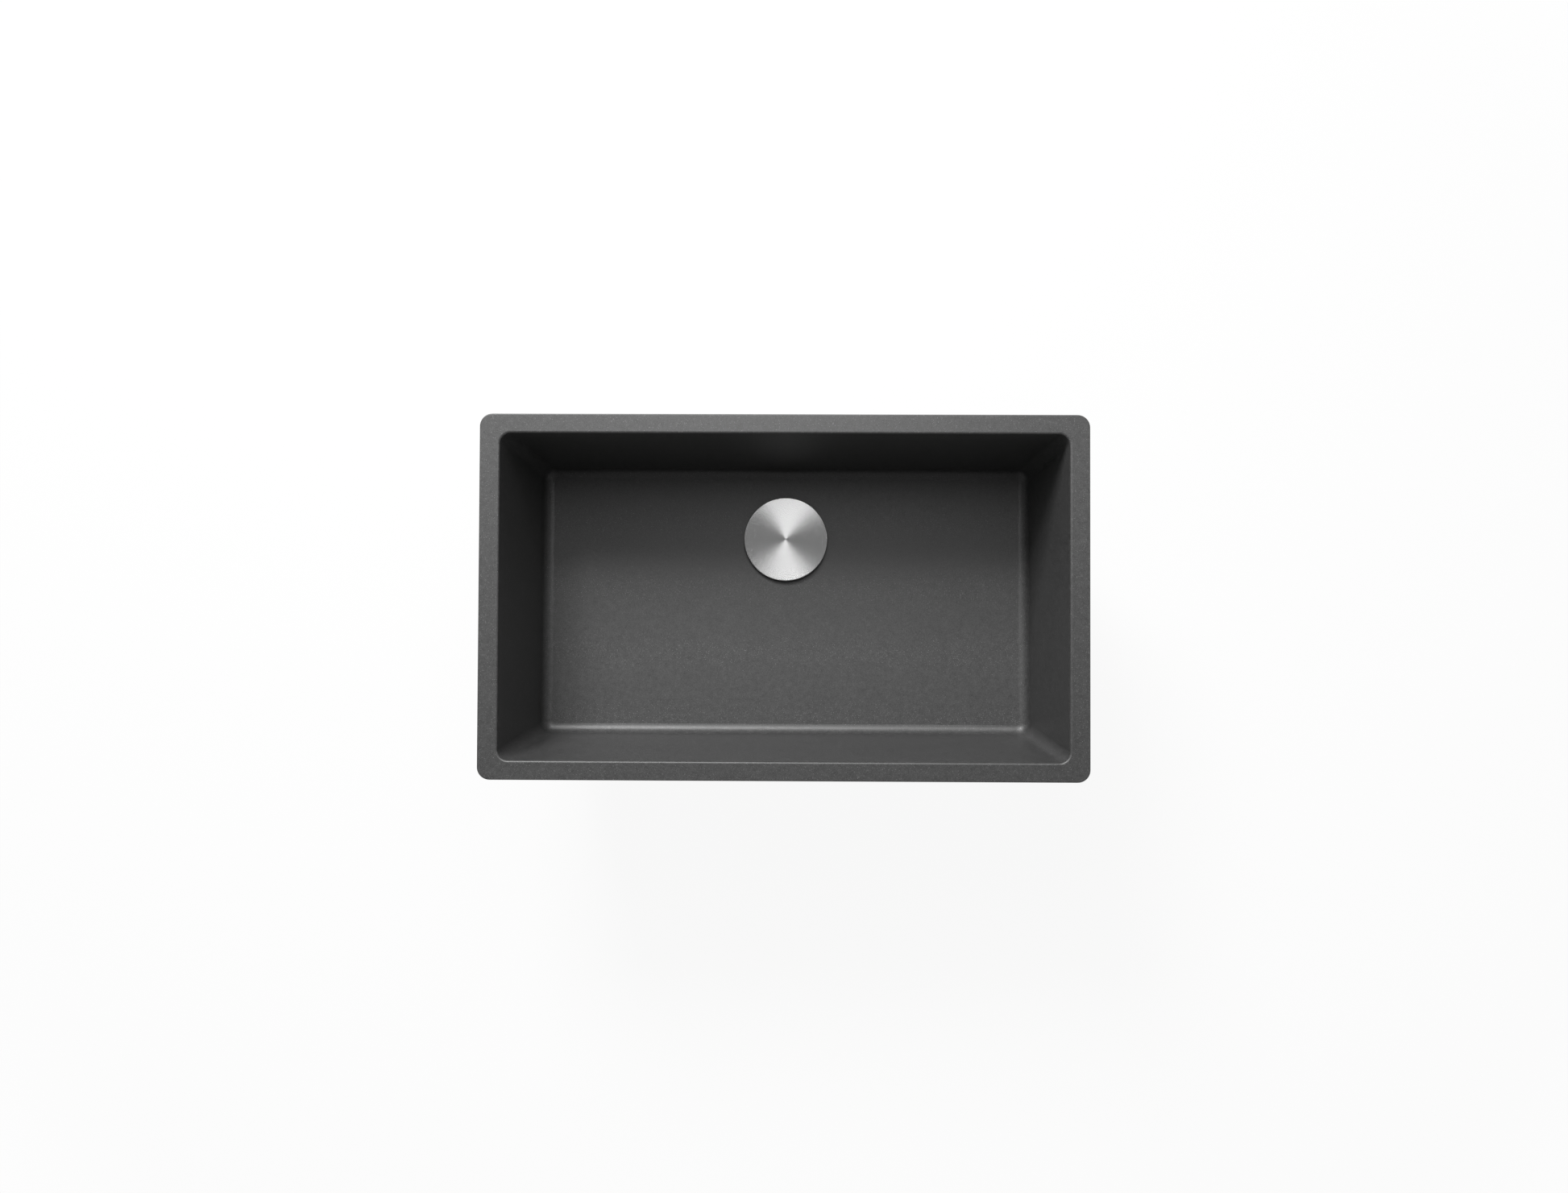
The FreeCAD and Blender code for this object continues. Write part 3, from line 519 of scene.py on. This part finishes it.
# die-cast zinc as it came from the die: cold-flow swirls, crystal patches and pinholes
zinc = {
    "metal": (0.43, 0.44, 0.45),
    "oxide": (0.25, 0.26, 0.27),
    "oxidised": (0.35, 0.7),
    "metallic": 0.9,
    "roughness": 0.46,
    "crystal": 0.0035,
    "flow": 0.014,
    "skin": 0.0009,
    "holeCell": 0.0034,
    "holeRadius": (0.05, 0.11),  # in holeCells
    "depth": 0.00003,
}


def paintZinc(s):
    patches = s.split(s.cells(s.place(), zinc["crystal"]))[0]
    flow = s.noise(s.place(), zinc["flow"], 4, 0.6, 1.2)
    skin = s.noise(s.place(), zinc["skin"], 3, 0.6)
    holes = 1 - s.fade(s.cells(s.place(), zinc["holeCell"], "Distance"), *zinc["holeRadius"])
    colour = s.mix(s.fade(flow, *zinc["oxidised"]) * 0.7, zinc["metal"], zinc["oxide"])
    return {
        "Base Color": s.tint(colour, 0.88 + patches * 0.16 - holes * 0.4),
        "Metallic": zinc["metallic"],
        "Roughness": zinc["roughness"] + flow.swing(0.25) + patches.swing(0.08),
        "Normal": s.bump(skin * 0.8 - holes * 1.5, zinc["depth"]),
    }


coat(newMaterial("castZinc", paintZinc), "locknut")


# unfilled nylon: milky and waxy, with swirls from the gate and fine tool marks
nylon = {
    "milk": (0.74, 0.73, 0.69),
    "amber": (0.60, 0.57, 0.49),
    "ambered": (0.4, 0.75),
    "swirl": 0.006,
    "roughness": 0.40,
    "ring": 0.0004,
    "depth": 0.000012,
    "seeThrough": 0.35,
    "depthOfLight": 0.0015,
}


def paintNylon(s):
    rings = turnedRings(s, nylon["ring"])
    swirl = s.noise(s.place(), nylon["swirl"], 3, 0.55, 1.5)
    return {
        "Base Color": s.mix(s.fade(swirl, *nylon["ambered"]) * 0.6, nylon["milk"], nylon["amber"]),
        "Roughness": nylon["roughness"] + rings.swing(0.16) + swirl.swing(0.12),
        "Subsurface Weight": nylon["seeThrough"],
        "Subsurface Scale": nylon["depthOfLight"],
        "Normal": s.bump(rings, nylon["depth"]),
    }


coat(newMaterial("naturalNylon", paintNylon), "tailpiece_washer", "post_spacer", "post_catch")


# chromed brass tube: polishing lines along it and a faint haze from handling
tube = {
    "chrome": (0.53, 0.54, 0.545),
    "haze": (0.41, 0.42, 0.425),
    "hazeSize": 0.02,
    "hazed": (0.38, 0.75),
    "roughness": 0.09,
    "line": 0.0005,
    "alongTube": (1, 1, 0.03),
    "depth": 0.000003,
}


def paintTube(s):
    lines = s.noise(s.stretch(s.place(), tube["alongTube"]), tube["line"], 2, 0.6)
    haze = s.fade(s.noise(s.place(), tube["hazeSize"], 4, 0.65), *tube["hazed"])
    return {
        "Base Color": s.mix(haze * 0.6, tube["chrome"], tube["haze"]),
        "Metallic": 1.0,
        "Roughness": tube["roughness"] + haze * 0.10 + lines.swing(0.05),
        "Normal": s.bump(lines, tube["depth"]),
    }


coat(newMaterial("chromedTube", paintTube), "tailpiece")


# chrome over a die casting: the casting's skin shows through as orange peel
plating = {
    "chrome": (0.52, 0.53, 0.535),
    "worn": (0.33, 0.33, 0.335),
    "wear": 0.008,
    "wornFrom": (0.5, 0.8),
    "roughness": 0.13,
    "peel": 0.0017,
    "pitCell": 0.0045,
    "pitRadius": (0.04, 0.09),  # in pitCells
    "depth": 0.00002,
}


def paintPlating(s):
    peel = s.noise(s.place(), plating["peel"], 2)
    dull = s.fade(s.noise(s.place(), plating["wear"], 4, 0.65), *plating["wornFrom"])
    pits = 1 - s.fade(s.cells(s.place(), plating["pitCell"], "Distance"), *plating["pitRadius"])
    return {
        "Base Color": s.mix(dull * 0.5 + pits * 0.5, plating["chrome"], plating["worn"]),
        "Metallic": 1.0,
        "Roughness": plating["roughness"] + dull * 0.15 + pits * 0.2,
        "Normal": s.bump(peel - pits * 0.8, plating["depth"]),
    }


coat(newMaterial("chromedCasting", paintPlating), "slip_nut")


# black moulded plastic: spark-eroded grain, smoother patches where fingers polish it, fine scratches
plastic = {
    "black": (0.020, 0.020, 0.021),
    "rubbed": (0.034, 0.034, 0.035),
    "rub": 0.01,
    "rubbedFrom": (0.5, 0.75),
    "roughness": 0.46,
    "spark": 0.0003,
    "scratch": 0.0004,
    "scratchAngle": 1.0,
    "depth": 0.000014,
}


def paintPlastic(s):
    spark = s.noise(s.place(), plastic["spark"], 3, 0.6)
    polish = s.fade(s.noise(s.place(), plastic["rub"], 3, 0.6, 0.8), *plastic["rubbedFrom"])
    marks = scratches(s, plastic["scratch"], plastic["scratchAngle"])
    return {
        "Base Color": s.mix(polish * 0.6 + marks * 0.3, plastic["black"], plastic["rubbed"]),
        "Roughness": plastic["roughness"] - polish * 0.12 + spark.swing(0.12),
        "Normal": s.bump(spark * (1 - polish * 0.5), plastic["depth"]),
    }


coat(newMaterial("blackPlastic", paintPlastic), "basket_knob", "cover_carrier")


# soft silicone: cloudy and a little see-through, with dust that clings to it
silicone = {
    "clear": (0.50, 0.51, 0.51),
    "dust": (0.30, 0.29, 0.27),
    "dustCell": 0.0006,
    "dustShare": (0.9, 0.95),
    "cloud": 0.004,
    "clouded": (0.5, 0.8),
    "roughness": 0.36,
    "depth": 0.00001,
    "seeThrough": 0.5,
    "depthOfLight": 0.002,
}


def paintSilicone(s):
    cloud = s.noise(s.place(), silicone["cloud"], 3, 0.6)
    dust = s.fade(s.split(s.cells(s.place(), silicone["dustCell"]))[0], *silicone["dustShare"])
    dim = dust * 0.6 + s.fade(cloud, *silicone["clouded"]) * 0.2
    return {
        "Base Color": s.mix(dim, silicone["clear"], silicone["dust"]),
        "Roughness": silicone["roughness"] + cloud.swing(0.2) + dust * 0.3,
        "Subsurface Weight": silicone["seeThrough"],
        "Subsurface Scale": silicone["depthOfLight"],
        "Normal": s.bump(cloud, silicone["depth"]),
    }


coat(newMaterial("softSilicone", paintSilicone), "cover_pads")


# Shiny things mirror a world that goes from the horizon's colour to the ceiling's.
# The soft fill light goes from ambientLow below to ambientHigh above.
studio = {
    "horizon": (1.0, 1.0, 1.0),
    "ceiling": (0.27, 0.27, 0.27),
    "ceilingRise": (0.0, 0.6),
    "ambientLow": 0.35,
    "ambientHigh": 0.05,
    "ambientRise": (-0.05, 0.12),
    "floorSize": 4.0,
    "floorGap": 0.0005,
    "floorPaint": (0.85, 0.85, 0.85),
    "floorWhite": 0.93,
    "floorFade": (0.65, 0.95),  # in half floor sizes
    "lampAim": (0, 0, -0.1),
}
lamps = {
    "key": {"place": (-1.03, 2.60, 2.46), "size": (1.30, 1.35), "watts": 186},
    "back": {"place": (0.041, 0.907, 1.532), "size": (0.64, 1.03), "watts": 11.3},
}


# 1 for the rays that show the background, and 1 for those of them that a shiny surface sends out
def backgroundRays(s):
    direct = s.add("ShaderNodeLightPath", output="Is Camera Ray")
    shiny = direct.out("Is Glossy Ray")
    return direct.larger(shiny).larger(direct.out("Is Transmission Ray")), shiny


def makeWorld():
    world = bpy.data.worlds.new("studio")
    bpy.context.scene.world = world
    s = Shade(world)
    seen, shiny = backgroundRays(s)
    up = s.split(s.add("ShaderNodeTexCoord", output="Generated"))[2]
    colour = s.mix(s.fade(up, *studio["ceilingRise"]) * shiny, studio["horizon"], studio["ceiling"])
    rise = studio["ambientHigh"] - studio["ambientLow"]
    ambient = studio["ambientLow"] + s.fade(up, *studio["ambientRise"]) * rise
    strength = ambient + seen * (1 - ambient)
    surface = s.add("ShaderNodeBackground", inputs={"Color": colour, "Strength": strength})
    s.add("ShaderNodeOutputWorld", inputs={"Surface": surface})


def makeFloor():
    half = studio["floorSize"] / 2
    low = cadBox[0].z - studio["floorGap"]
    corners = [(-half, -half, low), (half, -half, low), (half, half, low), (-half, half, low)]
    mesh = bpy.data.meshes.new("floor")
    mesh.from_pydata(corners, [], [(0, 1, 2, 3)])
    floor = bpy.data.objects.new("floor", mesh)
    bpy.context.scene.collection.objects.link(floor)
    material = bpy.data.materials.new("paleFloor")
    s = Shade(material)
    x, y, _ = s.split(s.place())
    lit = s.add("ShaderNodeBsdfDiffuse", inputs={"Color": (*studio["floorPaint"], 1)})
    white = s.add("ShaderNodeEmission", inputs={"Color": (1, 1, 1, 1)})
    seen, _ = backgroundRays(s)
    plain = s.add("ShaderNodeMixShader", inputs={0: seen * studio["floorWhite"], 1: lit, 2: white})
    clear = s.add("ShaderNodeBsdfTransparent")
    below = s.add("ShaderNodeNewGeometry", output="Backfacing")  # the floor doesn't hide the underside
    near, far = studio["floorFade"]
    edge = s.fade(length(x, y), half * near, half * far).larger(below)
    faded = s.add("ShaderNodeMixShader", inputs={0: edge, 1: plain, 2: clear})
    s.add("ShaderNodeOutputMaterial", inputs={"Surface": faded})
    mesh.materials.append(material)


def makeLamp(name, lamp):
    data = bpy.data.lights.new(name, "AREA")
    data.shape = "RECTANGLE"
    data.size, data.size_y = lamp["size"]
    data.energy = lamp["watts"]
    light = bpy.data.objects.new(name, data)
    light.location = lamp["place"]
    towards = Vector(studio["lampAim"]) - light.location
    light.rotation_euler = towards.to_track_quat("-Z", "Y").to_euler()
    light.visible_camera = False
    bpy.context.scene.collection.objects.link(light)


makeWorld()
makeFloor()
for name, lamp in lamps.items():
    makeLamp(name, lamp)
print("studio lit")
